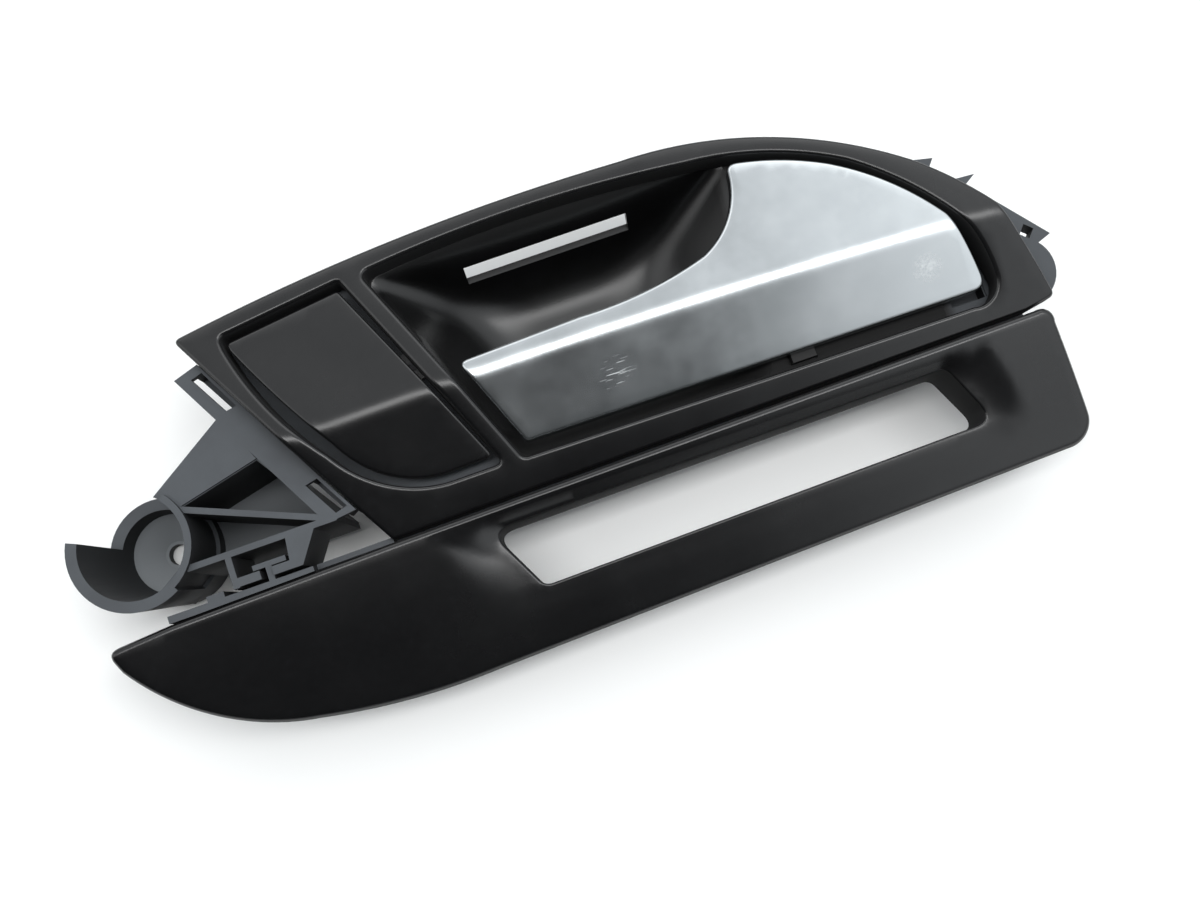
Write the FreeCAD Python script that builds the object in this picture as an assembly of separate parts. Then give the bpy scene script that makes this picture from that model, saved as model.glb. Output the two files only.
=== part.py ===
"""Interior car door handle unit: release lever in a finger bowl, blanked switch opening, carrier and grip trim.

The unit lies on its back: +X runs along its length, +Y up the door, +Z out of the door into the cabin.
Lengths are millimetres. Outlines are drawn about a datum on the seam, then moved to the unit's origin.
"""
import FreeCAD
import Part
import math
import os

# driving dimensions
ORIGIN_SHIFT = FreeCAD.Vector(2.25, -16.8, 0)
CREASE_CENTRE = (-20.0, -2466.4)
CREASE_RADIUS = 2500.0
CREASE_HEIGHT = 52.0
UPPER_SLOPE = 0.123
LOWER_SLOPE = 0.325
CREASE_ROUND = 8.0
SWEEP_DEGREES = 5.0
SHELL = 2.4
SKIRT_FOOT = 38.0
RIM_WALL = 1.8
BLANK_DROP = 0.9
DECK_FOOT = 34.0
DECK_TOP = 36.5
CLIP_FLOOR = 37.1
BRACKET_TOP = 44.0
BRACKET_FLOOR = 10.0
RIB = 1.9
BOWL_TOP = 38.0
BOWL_FLOOR = 12.0
BOWL_WALL = 2.0
COVER = 1.5
ARM_PLATE = 2.6
PIVOT_X = 108.0
PIVOT_Z = 45.0
PAD_X = 94.2
PIN_RADIUS = 1.75
BUSH_BORE = 1.80
BUSH_RADIUS = 2.6
BARREL_RADIUS = 3.5
LUG_RADIUS = 3.3
LOWER_LUG = (25.0, 29.0)
UPPER_LUG = (39.6, 42.4)
BARREL = (30.0, 35.5)
POT_X = -139.2
POT_Y = 18.8
POT_TOP = 46.0
POT_RADIUS = 19.2
POT_WALL = 3.4
POT_SHAVE = 1.3
POT_CUT_TOP = 17.0
SCREW_HOLE_RADIUS = 3.4
CABLE_SEAT_RADIUS = 2.0
CROWN_RADIUS = 300.0
CROWN_Y = 55.0
CROWN_HEIGHT = 49.8
WINDOW_FOOT = 20.0
TRIM_WALL = 2.4
TRIM_FOOT = 28.0
FRAME_PLATE = 2.5
SCREW_RADIUS = 1.45
SCREW_HEAD = 3.0

BEZEL_BOSSES = [(-100.0, 66.0), (-64.0, 2.5), (136.8, 8.0), (133.0, 31.5)]
BOWL_BOSSES = [(-44.5, 45.0), (72.0, 58.0), (72.0, 30.0)]
TRIM_BOSSES = [-57.0, 20.0, 122.0]
COVER_BOSSES = [(0.0, 24.0), (60.0, 24.0), (90.0, 50.0)]


# outline and solid helpers
def v(x, y, z=0.0):
    return FreeCAD.Vector(x, y, z)


def outline(start, *steps):
    """Closed wire: a point is a straight step, a pair of points an arc through the first to the second."""
    edges = []
    here = v(*start)
    for step in steps:
        if isinstance(step[0], tuple):
            there = v(*step[1])
            edges.append(Part.Arc(here, v(*step[0]), there).toShape())
        else:
            there = v(*step)
            edges.append(Part.LineSegment(here, there).toShape())
        here = there
    if here.distanceToPoint(v(*start)) > 1e-6:
        edges.append(Part.LineSegment(here, v(*start)).toShape())
    return Part.Wire(edges)


def grown(wire, distance):
    return wire.makeOffset2D(distance)


def rounded(wire, radius):
    return wire.makeOffset2D(-radius).makeOffset2D(radius)


def prism(wire, low, high):
    face = Part.Face(wire)
    face.translate(v(0, 0, low))
    return face.extrude(v(0, 0, high - low))


def polygon(points):
    corners = [v(*point) for point in points]
    return Part.makePolygon(corners + corners[:1])


def grown_points(points, distance):
    """Corners of a clockwise polygon whose sides stand out by a distance."""
    moved = []
    count = len(points)
    for index in range(count):
        before, here, after = points[index - 1], points[index], points[(index + 1) % count]
        first = math.atan2(here[1] - before[1], here[0] - before[0])
        second = math.atan2(after[1] - here[1], after[0] - here[0])
        middle = (math.sin(first) * -1 - math.sin(second), math.cos(first) + math.cos(second))
        reach = distance * 2 / (middle[0] ** 2 + middle[1] ** 2)
        moved.append((here[0] + middle[0] * reach, here[1] + middle[1] * reach))
    return moved


def soft_polygon(points, radius, height):
    """Polygon wire with every corner rounded, always one side and one arc per corner."""
    edges = []
    ends = []
    count = len(points)
    for index in range(count):
        before, here, after = v(*points[index - 1]), v(*points[index]), v(*points[(index + 1) % count])
        back = (before - here).normalize()
        on = (after - here).normalize()
        reach = radius / math.tan(back.getAngle(on) / 2)
        inward = (back + on).normalize()
        depth = radius / math.sin(back.getAngle(on) / 2) - radius
        ends.append((here + back * reach, here + inward * depth, here + on * reach))
    for index in range(count):
        into, middle, out = ends[index]
        edges.append(Part.Arc(into, middle, out).toShape())
        edges.append(Part.LineSegment(out, ends[(index + 1) % count][0]).toShape())
    wire = Part.Wire(edges)
    wire.translate(v(0, 0, height))
    return wire


def box(x0, x1, y0, y1, z0, z1):
    return Part.makeBox(x1 - x0, y1 - y0, z1 - z0, v(x0, y0, z0))


def upright(x, y, radius, low, high):
    return Part.makeCylinder(radius, high - low, v(x, y, low))


def along_y(x, z, radius, start, end):
    return Part.makeCylinder(radius, end - start, v(x, start, z), v(0, 1, 0))


def bar(start, end, width, low, high):
    """Straight wall between two points."""
    run = v(*end) - v(*start)
    solid = Part.makeBox(run.Length, width, high - low, v(0, -width / 2, 0))
    solid.rotate(v(0, 0, 0), v(0, 0, 1), math.degrees(math.atan2(run.y, run.x)))
    solid.translate(v(start[0], start[1], low))
    return solid


def fuse(first, *others):
    return first.multiFuse(list(others)).removeSplitter()


def screw(x, y, head_foot, length):
    """Pan-head screw pointing up, its head's lower face at head_foot."""
    head = upright(x, y, SCREW_HEAD, head_foot, head_foot + 2.0)
    shank = upright(x, y, SCREW_RADIUS, head_foot + 2.0, head_foot + length)
    recess = box(x - 1.6, x + 1.6, y - 0.35, y + 0.35, head_foot, head_foot + 0.9)
    return head.fuse(shank).cut(recess)


def under_face(drop):
    """Solid below the two-slope front face, lowered by drop; the slopes meet in a rounded crease."""
    top = CREASE_HEIGHT - drop
    half_turn = (math.atan(UPPER_SLOPE) + math.atan(LOWER_SLOPE)) / 2
    reach = CREASE_ROUND * math.tan(half_turn)
    low_angle = math.atan(LOWER_SLOPE)
    high_angle = math.atan(UPPER_SLOPE)
    low_end = v(CREASE_RADIUS - reach * math.cos(low_angle), 0, top - reach * math.sin(low_angle))
    high_end = v(CREASE_RADIUS + reach * math.cos(high_angle), 0, top - reach * math.sin(high_angle))
    lean = (low_angle - high_angle) / 2
    sink = CREASE_ROUND / math.cos(half_turn) - CREASE_ROUND
    middle = v(CREASE_RADIUS + sink * math.sin(lean), 0, top - sink * math.cos(lean))
    inner = v(CREASE_RADIUS - 60, 0, top - 60 * LOWER_SLOPE)
    outer = v(CREASE_RADIUS + 70, 0, top - 70 * UPPER_SLOPE)
    edges = [
        Part.LineSegment(inner, low_end).toShape(),
        Part.Arc(low_end, middle, high_end).toShape(),
        Part.LineSegment(high_end, outer).toShape(),
        Part.LineSegment(outer, v(outer.x, 0, -5)).toShape(),
        Part.LineSegment(v(outer.x, 0, -5), v(inner.x, 0, -5)).toShape(),
        Part.LineSegment(v(inner.x, 0, -5), inner).toShape(),
    ]
    profile = Part.Face(Part.Wire(edges))
    solid = profile.revolve(v(0, 0, 0), v(0, 0, 1), 2 * SWEEP_DEGREES)
    solid.rotate(v(0, 0, 0), v(0, 0, 1), 90 - SWEEP_DEGREES)
    solid.translate(v(CREASE_CENTRE[0], CREASE_CENTRE[1], 0))
    return solid


def face_height(x, y):
    beyond = y - (CREASE_CENTRE[1] + CREASE_RADIUS - (x - CREASE_CENTRE[0]) ** 2 / (2 * CREASE_RADIUS))
    if beyond > 0:
        return CREASE_HEIGHT - UPPER_SLOPE * beyond
    return CREASE_HEIGHT + LOWER_SLOPE * beyond


def under_crown(drop):
    """Solid below the trim's crowned face, lowered by drop."""
    axis_start = v(-165, CROWN_Y, CROWN_HEIGHT - CROWN_RADIUS)
    return Part.makeCylinder(CROWN_RADIUS - drop, 320, axis_start, v(1, 0, 0))


# outlines
def bezel_outline():
    wire = outline(
        (-110.0, 73.9),
        ((-36.0, 82.5), (35.0, 83.2)),
        ((80.0, 75.6), (118.9, 53.3)),
        ((128.7, 43.2), (137.4, 31.6)),
        ((142.2, 17.0), (146.9, 0.3)),
        (137.0, -1.5),
        (-66.6, -4.1),
    )
    return rounded(wire, 1.6)


def blank_opening():
    wire = outline(
        (-96.4, 69.9),
        (-57.4, 75.0),
        (-28.2, 7.0),
        (-44.0, 6.9),
        ((-61.1, 11.2), (-75.8, 25.1)),
        ((-87.2, 42.5), (-95.9, 66.0)),
    )
    return rounded(wire, 1.6)


def blank_outline():
    wire = outline(
        (-94.9, 67.7),
        (-58.6, 72.4),
        (-30.2, 9.8),
        (-46.0, 9.4),
        ((-60.5, 13.7), (-73.5, 27.5)),
        ((-85.5, 47.5), (-94.4, 65.0)),
    )
    return rounded(wire, 1.2)


def lever_opening():
    wire = outline(
        (-50.6, 75.0),
        ((4.0, 78.2), (53.4, 75.0)),
        ((79.5, 69.6), (100.1, 59.5)),
        ((112.6, 48.0), (124.0, 32.9)),
        ((129.2, 20.5), (130.6, 11.0)),
        ((128.6, 6.4), (122.0, 4.7)),
        (60.0, 5.3),
        (-21.9, 6.5),
    )
    return rounded(wire, 2.0)


def lever_outline():
    wire = outline(
        (-31.2, 38.5),
        (8.0, 39.8),
        ((31.0, 41.1), (48.5, 45.2)),
        ((60.2, 55.2), (65.0, 71.0)),
        ((81.0, 67.0), (94.7, 60.7)),
        ((109.6, 48.9), (121.9, 33.2)),
        ((125.2, 21.0), (127.0, 9.0)),
        (-19.6, 10.4),
    )
    return rounded(wire, 1.0)


def trim_outline():
    wire = outline(
        (-156.3, -7.9),
        (-135.8, -6.3),
        (-66.0, -4.9),
        (139.0, -2.4),
        ((143.0, -3.6), (144.0, -7.5)),
        (146.2, -36.5),
        ((144.9, -41.4), (138.5, -44.8)),
        (51.0, -47.3),
        (-49.9, -50.4),
        ((-78.0, -50.1), (-104.7, -46.4)),
        ((-135.0, -34.3), (-153.5, -15.0)),
    )
    return rounded(wire, 1.0)


def window_points():
    return [(-38.6, -11.2), (108.2, -9.7), (116.8, -29.1), (-28.4, -31.5)]


# front pieces
def bezel():
    """Front shell with a skirt round its edge and a rim round each opening."""
    openings = [blank_opening(), lever_opening()]
    shell = prism(bezel_outline(), SKIRT_FOOT, 60).common(under_face(0))
    hollow = prism(grown(bezel_outline(), -SHELL), SKIRT_FOOT - 1, 60).common(under_face(SHELL))
    for opening in openings:
        hollow = hollow.cut(prism(grown(opening, RIM_WALL), SKIRT_FOOT - 2, 60))
    bosses = [upright(x, y, 2.9, DECK_TOP, face_height(x, y) - 1.5) for x, y in BEZEL_BOSSES]
    shell = fuse(shell.cut(hollow), *bosses)
    for opening in openings:
        shell = shell.cut(prism(opening, SKIRT_FOOT - 3, 60))
    for x, y in BEZEL_BOSSES:
        shell = shell.cut(upright(x, y, SCREW_RADIUS, DECK_TOP - 1, face_height(x, y) - SHELL - 0.6))
    return shell


def switch_blank():
    """Plain panel closing the switch opening, with two feet down to the carrier."""
    panel = prism(blank_outline(), 38, 60).common(under_face(BLANK_DROP)).cut(under_face(BLANK_DROP + 2.2))
    feet = [bar((-74, 58), (-62, 59.5), 2, CLIP_FLOOR, 60), bar((-56, 17), (-44, 16), 2, CLIP_FLOOR, 60)]
    feet = [foot.common(under_face(BLANK_DROP + 1)) for foot in feet]
    return fuse(panel, *feet)


def blank_clips():
    """Spring clips saddling the blank's two feet below the panel."""
    clips = []
    for x, y, turn in [(-68, 58.75, 7.1), (-50, 16.5, -4.8)]:
        outer = box(-3, 3, -1.6, 1.6, DECK_TOP, DECK_TOP + 5)
        clip = outer.cut(box(-4, 4, -1.05, 1.05, CLIP_FLOOR, DECK_TOP + 6))
        clip.rotate(v(0, 0, 0), v(0, 0, 1), turn)
        clip.translate(v(x, y, 0))
        clips.append(clip)
    return Part.makeCompound(clips)


def bowl_points(top):
    if top:
        return [(-50.3, 74.9), (66.0, 75.2), (58.0, 6.5), (-21.6, 7.2)]
    return [(-21.0, 62.6), (36.4, 62.8), (33.0, 15.0), (-17.0, 15.0)]


def finger_bowl():
    """Open bowl behind the lever, with a light slot in its upper wall and a flange and apron on the carrier."""
    inner = Part.makeLoft([
        soft_polygon(bowl_points(True), 4, BOWL_TOP + 0.01),
        soft_polygon(bowl_points(False), 9, BOWL_FLOOR),
    ], True, True)
    outer = Part.makeLoft([
        soft_polygon(grown_points(bowl_points(True), BOWL_WALL), 6, BOWL_TOP),
        soft_polygon(grown_points(bowl_points(False), BOWL_WALL), 11, BOWL_FLOOR - BOWL_WALL),
    ], True, True)
    flange = prism(soft_polygon(grown_points(bowl_points(True), 4.5), 6, 0), DECK_TOP, BOWL_TOP)
    flange = flange.common(prism(grown(bezel_outline(), -SHELL - 0.4), 30, 50))
    apron = prism(grown(lever_opening(), 1.2), DECK_TOP, BOWL_TOP)
    for room in (box(92, 113, 21, 46, 30, 40), box(115, 132, 5, 22.5, 30, 40), box(64.3, 72.9, 6.5, 13.5, 30, 40)):
        apron = apron.cut(room)
    apron = apron.cut(upright(88.0, 56.0, 3.6, 30, 40))
    ears = [upright(x, y, 5, DECK_TOP, BOWL_TOP) for x, y in BOWL_BOSSES]
    ears += [box(60, x, y - 5, y + 5, DECK_TOP, BOWL_TOP) for x, y in BOWL_BOSSES[1:]]
    solid = fuse(outer, flange, apron, *ears).cut(inner)
    solid = solid.cut(box(-20.7, 33.6, 60, 80, 23.4, 30.4))
    for x, y in BOWL_BOSSES:
        solid = solid.cut(upright(x, y, SCREW_RADIUS, 20, 50))
    return solid


# carrier
def deck():
    """Plate behind the bezel, open for the bowl, the lever's horn and the blanked switch."""
    plate = prism(grown(bezel_outline(), -0.4), DECK_FOOT, DECK_TOP)
    left_end = polygon([(-106.3, 65.3), (-73.9, 7.8), (-60, 20), (-95, 66)])
    plate = plate.fuse(prism(left_end, DECK_FOOT, DECK_TOP))
    plate = plate.cut(prism(soft_polygon(grown_points(bowl_points(True), BOWL_WALL + 0.4), 6, 0), 30, 40))
    plate = plate.cut(prism(polygon([(-86, 62), (-70, 64), (-52, 26), (-62, 22)]), 30, 40))
    horn_slot = box(PAD_X, PIVOT_X + 6, BARREL[0] - 0.5, BARREL[1] + 0.5, 30, 40)
    heel_pocket = box(116.5, 131, 6, 21.5, 28.5, DECK_TOP)
    heel_room = box(118, 129.5, 7.5, 20, 30, 40)
    return plate.fuse(heel_pocket).cut(horn_slot).cut(heel_room)


def bracket_plate():
    """Triangular top plate and the narrow slotted flange along the bezel's left edge."""
    flange = prism(polygon([
        (-113.5, 62.7), (-105.6, 65.3), (-73.7, 7.9), (-83.0, 6.7),
    ]), BRACKET_TOP - 2.5, BRACKET_TOP)
    plate = prism(polygon([
        (-129.4, 31.2), (-104.4, 47.7), (-97.1, 32.2), (-122.8, 25.8),
    ]), BRACKET_TOP - 2.5, BRACKET_TOP)
    wall = bar((-107.6, 64.6), (-75.6, 8.2), 2.2, DECK_FOOT, BRACKET_TOP - 1)
    solid = fuse(flange, plate, wall)
    slots = [
        [(-108.6, 61.3), (-105.0, 62.4), (-98.0, 49.4), (-101.5, 48.8)],
        [(-85.7, 19.6), (-81.9, 20.5), (-75.9, 9.9), (-79.6, 8.9)],
    ]
    for corners in slots:
        solid = solid.cut(prism(polygon(corners), DECK_TOP - 0.5, 50))
    return solid


def pot_sector(start, end):
    """Wedge of the pot's upper part between two angles."""
    corners = [(POT_X, POT_Y)]
    for step in range(5):
        angle = math.radians(start + (end - start) * step / 4)
        corners.append((POT_X + 40 * math.cos(angle), POT_Y + 40 * math.sin(angle)))
    return prism(polygon(corners), POT_CUT_TOP, POT_TOP + 5)


def boss_pot():
    """Deep screw pot with a dished floor, its wall cut low on the outer side."""
    foot_radius = POT_RADIUS - 2.8
    outer = Part.makeCone(foot_radius, POT_RADIUS, POT_TOP, v(POT_X, POT_Y, 0))
    inner = Part.makeCone(foot_radius - POT_WALL, POT_RADIUS - POT_WALL, POT_TOP - 9, v(POT_X, POT_Y, 9))
    dish = Part.makeCone(SCREW_HOLE_RADIUS + 1, foot_radius - POT_WALL, 5, v(POT_X, POT_Y, 4))
    pot = outer.cut(inner).cut(dish)
    pot = pot.cut(upright(POT_X, POT_Y, SCREW_HOLE_RADIUS, -1, 10))
    thin_wall = Part.makeCone(foot_radius - POT_SHAVE, POT_RADIUS - POT_SHAVE, POT_TOP, v(POT_X, POT_Y, 0))
    pot = pot.cut(pot_sector(-60, 50).cut(thin_wall))
    return pot.cut(pot_sector(42, 157))


def bracket_ribs():
    """Deep ribs, pocket floor and hook walls that tie the pot to the carrier."""
    top = BRACKET_TOP
    low = BRACKET_FLOOR - 2
    pieces = [
        bar((-123.5, 25.3), (-83.2, 8.6), RIB, low, top),
        bar((-126.0, 7.6), (-80.0, 7.7), RIB, low, top),
        bar((-138.0, 2.0), (-126.0, 9.6), RIB, low, top - 3),
        bar((-124.0, 26.2), (-97.5, 32.8), RIB, low, top - 1),
        bar((-97.4, 33.6), (-80.6, 8.2), RIB, low, top - 1),
        prism(polygon([(-126, 7.6), (-123, 26.4), (-97.5, 32.8), (-80.6, 7.7)]), low, BRACKET_FLOOR),
        bar((-113.7, 7.0), (-113.7, -2.8), RIB, 20, top),
        box(-114.6, -106.0, -2.5, 0.1, 20, top),
        box(-102.3, -95.0, -2.5, 0.1, 20, top),
        prism(polygon([(-97.0, -2.5), (-96.0, 7.0), (-87.0, 7.0), (-93.3, -2.5)]), 20, top),
        bar((-99.0, 44.0), (-90.0, 48.0), 3, DECK_FOOT - 6, DECK_TOP),
    ]
    return pieces


def right_end():
    """Plate past the bezel's right edge, with its tip, square hole and two panel teeth."""
    plate = prism(outline(
        (137.0, 36.0), (139.8, 36.8), (153.9, 19.2), (149.4, 17.6),
        ((151.6, 9.0), (147.6, 2.3)), (140.0, 4.0),
    ), SKIRT_FOOT - 1.5, 40.0)
    hole = prism(polygon([(144.9, 21.9), (147.2, 24.6), (149.6, 22.3), (147.2, 19.7)]), 30, 50)
    teeth = [
        prism(polygon([(118.0, 53.0), (122.3, 55.5), (128.9, 54.0), (127.0, 51.7), (124.5, 46.0)]), 36.5, 39),
        prism(polygon([(129.0, 42.0), (132.4, 45.4), (139.3, 44.9), (134.5, 41.9), (132.5, 37.5)]), 36.5, 39),
    ]
    edge = prism(grown(bezel_outline(), 0.3), 30, 50)
    shelf = prism(polygon([(137.0, 36.0), (139.8, 36.8), (150.0, 22.0), (146.0, 3.0), (138, 3)]), DECK_FOOT, DECK_TOP)
    solid = plate.cut(hole).fuse(teeth[0]).fuse(teeth[1]).cut(edge)
    under = prism(polygon([
        (116, 51), (122.3, 55.5), (127.0, 51.7), (134.5, 45), (136, 38), (128, 38),
    ]), DECK_FOOT, DECK_TOP)
    return [solid, shelf.cut(hole), under]


def pivot_lugs():
    lugs = []
    for start, end in (LOWER_LUG, UPPER_LUG):
        lug = along_y(PIVOT_X, PIVOT_Z, LUG_RADIUS, start, end)
        stem = box(PIVOT_X - LUG_RADIUS, PIVOT_X + LUG_RADIUS, start, end, DECK_FOOT, PIVOT_Z)
        lugs.append(lug.fuse(stem))
    return lugs


def clip_towers():
    """Hollow snap towers that stand the unit off its panel."""
    towers = []
    for x, y in [(126.0, 41.0), (134.0, 8.0), (-84.0, 66.0)]:
        tower = box(x - 5, x + 5, y - 4, y + 4, 0, DECK_TOP - 0.5)
        tower = tower.cut(box(x - 3.2, x + 3.2, y - 5, y + 2.2, 4, DECK_FOOT - 3))
        towers.append(tower)
    return towers


def carrier():
    """Structural moulding: deck, lower wall, bracket, pot, ribs, pivot lugs and panel clips."""
    lower_wall = bar((-66.0, -1.6), (138.0, 0.8), 2.0, TRIM_FOOT, DECK_TOP - 0.5)
    seam_ledge = bar((-66.0, -3.0), (138.0, -0.9), 2.4, DECK_TOP - 2.5, DECK_TOP - 0.5)
    pieces = [bracket_plate(), boss_pot(), lower_wall, seam_ledge]
    pieces += bracket_ribs() + right_end() + pivot_lugs() + clip_towers()
    pieces += [upright(x, 1.2, 3.2, TRIM_FOOT, DECK_TOP - 0.5) for x in TRIM_BOSSES]
    pieces += [upright(x, y, 3.2, DECK_FOOT - 4, DECK_TOP - 0.5) for x, y in BOWL_BOSSES]
    solid = fuse(deck(), *pieces)
    solid = solid.cut(along_y(PIVOT_X, PIVOT_Z, PIN_RADIUS, 0, 60))
    for x, y in BEZEL_BOSSES:
        solid = solid.cut(upright(x, y, SCREW_RADIUS, 20, 37))
        solid = solid.cut(upright(x, y, SCREW_HEAD + 0.4, 26, DECK_FOOT + 0.01))
    for x in TRIM_BOSSES:
        solid = solid.cut(upright(x, 1.2, SCREW_RADIUS, 20, 34))
    for x, y in BOWL_BOSSES:
        solid = solid.cut(upright(x, y, SCREW_RADIUS, 20, 37))
    return solid


# grip trim
def grip_trim():
    """Crowned trim strip with a recessed grip window whose wall runs down inside."""
    shell = prism(trim_outline(), TRIM_FOOT, 60).common(under_crown(0))
    hollow = prism(grown(trim_outline(), -TRIM_WALL), TRIM_FOOT - 1, 60).common(under_crown(TRIM_WALL))
    tube = prism(soft_polygon(grown_points(window_points(), 2), 5, 0), WINDOW_FOOT, 60)
    shell = shell.cut(hollow.cut(tube)).fuse(tube.common(under_crown(TRIM_WALL / 2)))
    return shell.cut(prism(soft_polygon(window_points(), 3, 0), 10, 60)).removeSplitter()


def grip_trim_frame():
    """Backing frame of the trim, with the strip and T tab that hook into the carrier."""
    low = TRIM_FOOT - FRAME_PLATE
    plate = prism(grown(trim_outline(), -0.4), low, TRIM_FOOT)
    plate = plate.cut(prism(soft_polygon(grown_points(window_points(), 2.3), 5.3, 0), 10, 60))
    strip = [
        bar((-135.7, -4.9), (-90.9, -4.8), 2.2, low, 43),
        bar((-90.9, -3.9), (-66.9, -3.6), 1.6, low, SKIRT_FOOT - 0.4),
        box(-123.3, -118.0, -5.0, -2.0, low, 43),
        box(-104.3, -102.4, -5.0, 1.5, low, 43),
        box(-108.0, -97.8, 0.6, 2.2, low, 43),
    ]
    tabs = [box(x - 5, x + 5, -8, 5, low, TRIM_FOOT) for x in TRIM_BOSSES]
    strip = [piece.cut(prism(grown(trim_outline(), 0.15), TRIM_FOOT, 60)) for piece in strip]
    solid = fuse(plate, *(strip + tabs))
    for x in TRIM_BOSSES:
        solid = solid.cut(upright(x, 1.2, SCREW_RADIUS, 20, 34))
    return solid


# lever
def lever_cover():
    """Satin lever skin, flush with the front face, with a turned edge all round."""
    wire = lever_outline()
    skin = prism(wire, 30, 60).common(under_face(0)).cut(under_face(COVER + 2.6))
    return skin.cut(prism(grown(wire, -1.3), 30, 60).common(under_face(COVER)))


def lever_arm():
    """Lever core under the skin, with its pivot barrel and the horn that pulls the latch cable."""
    wire = grown(lever_outline(), -1.4)
    plate = prism(wire, 30, 60).common(under_face(COVER)).cut(under_face(COVER + ARM_PLATE))
    for start, end in ((LOWER_LUG[0] - 3.2, BARREL[0]), (BARREL[1], UPPER_LUG[1] + 2.4)):
        plate = plate.cut(box(PIVOT_X - 4.6, PIVOT_X + 4.6, start, end, 30, 60))
    inside = prism(wire, 40.5, 60).common(under_face(COVER + 0.5))
    ribs = [bar((-18, 20), (100, 20), 1.8, 40.5, 50), bar((-20, 34), (100, 34), 1.8, 43, 52)]
    ribs = [rib.common(inside) for rib in ribs]
    bosses = [upright(x, y, 3, 43.2, face_height(x, y) - COVER - 1) for x, y in COVER_BOSSES]
    barrel = along_y(PIVOT_X, PIVOT_Z, BARREL_RADIUS, *BARREL)
    saddle = box(PIVOT_X - 3.4, PIVOT_X + 3.4, *BARREL, PIVOT_Z, 60).common(under_face(COVER + 0.5))
    horn = prism_xz([
        (PIVOT_X - 4.5, PIVOT_Z), (PIVOT_X + 3.0, PIVOT_Z), (PIVOT_X - 0.5, 21), (PIVOT_X - 7.5, 21),
    ], 30.5, 35)
    solid = fuse(plate, barrel, saddle, horn, *(ribs + bosses))
    solid = solid.cut(along_y(PIVOT_X, PIVOT_Z, BUSH_RADIUS, 0, 60))
    solid = solid.cut(along_y(PIVOT_X - 4.0, 25.0, CABLE_SEAT_RADIUS, 20, 40))
    for x, y in COVER_BOSSES:
        solid = solid.cut(upright(x, y, 1.0, 40, face_height(x, y) - COVER - 0.01))
    return solid


def prism_xz(points, start, end):
    """Solid with an outline in the XZ plane, running along Y."""
    corners = [v(x, start, z) for x, z in points]
    return Part.Face(Part.makePolygon(corners + corners[:1])).extrude(v(0, end - start, 0))


def lever_pin():
    """Steel pin headed at its lower end, grooved for the clip at its upper end."""
    pin = along_y(PIVOT_X, PIVOT_Z, PIN_RADIUS, LOWER_LUG[0] - 1.6, UPPER_LUG[1] + 1.8)
    head = along_y(PIVOT_X, PIVOT_Z, 2.6, LOWER_LUG[0] - 2.6, LOWER_LUG[0])
    groove = along_y(PIVOT_X, PIVOT_Z, 5, UPPER_LUG[1] + 0.3, UPPER_LUG[1] + 1.1)
    groove = groove.cut(along_y(PIVOT_X, PIVOT_Z, 1.2, 0, 80))
    return pin.fuse(head).cut(groove)


def pin_clip():
    clip = along_y(PIVOT_X, PIVOT_Z, 2.7, UPPER_LUG[1] + 0.3, UPPER_LUG[1] + 1.1)
    clip = clip.cut(along_y(PIVOT_X, PIVOT_Z, 1.2, 0, 80))
    return clip.cut(box(PIVOT_X - 0.9, PIVOT_X + 0.9, 40, 50, PIVOT_Z - 5, PIVOT_Z))


def bush(start, end, flange_start, flange_end):
    sleeve = along_y(PIVOT_X, PIVOT_Z, BUSH_RADIUS, start, end)
    flange = along_y(PIVOT_X, PIVOT_Z, 3.3, flange_start, flange_end)
    return sleeve.fuse(flange).cut(along_y(PIVOT_X, PIVOT_Z, BUSH_BORE, 0, 60))


def lever_spring():
    """Close-wound torsion spring on the pin: one leg down to the deck, one up into the core's cut-out."""
    wire_radius = 0.5
    coil_radius = 2.9
    pitch = 0.9
    first = 36.9
    sections = []
    for turn in range(3):
        circle = Part.makeCircle(wire_radius, v(PIVOT_X - coil_radius, first + turn * pitch, PIVOT_Z))
        sections.append(Part.Face(Part.Wire(circle)))
    coils = fuse(*sections).revolve(v(PIVOT_X, 0, PIVOT_Z), v(0, 1, 0), 360)
    beside = PIVOT_X + coil_radius + 2 * wire_radius + 0.02
    down = upright(beside, first, wire_radius, DECK_TOP, PIVOT_Z)
    up = upright(beside, first + 2 * pitch, wire_radius, PIVOT_Z, PIVOT_Z + 2.6)
    return Part.makeCompound([coils, down, up])


def rest_buffers():
    """Rubber pads that the lever rests on, seen in the gap along its lower edge."""
    lower = box(64.8, 72.4, 7.0, 13.0, DECK_TOP, 40.2)
    upper = upright(88.0, 56.0, 3.2, DECK_TOP, face_height(88, 60) - COVER - ARM_PLATE - 0.2)
    return Part.makeCompound([lower, upper])


def open_buffer():
    return box(PAD_X, PAD_X + 2.8, BARREL[0] + 0.2, BARREL[1] - 0.2, DECK_FOOT, DECK_TOP)


def screws(points, head_foot, length):
    return Part.makeCompound([screw(x, y, head_foot, length) for x, y in points])


def cover_screws():
    parts = []
    for x, y in COVER_BOSSES:
        head = upright(x, y, 2.0, 41.9, 43.2)
        shank = upright(x, y, 1.0, 43.2, face_height(x, y) - COVER - 0.3)
        parts.append(head.fuse(shank))
    return Part.makeCompound(parts)


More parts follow.
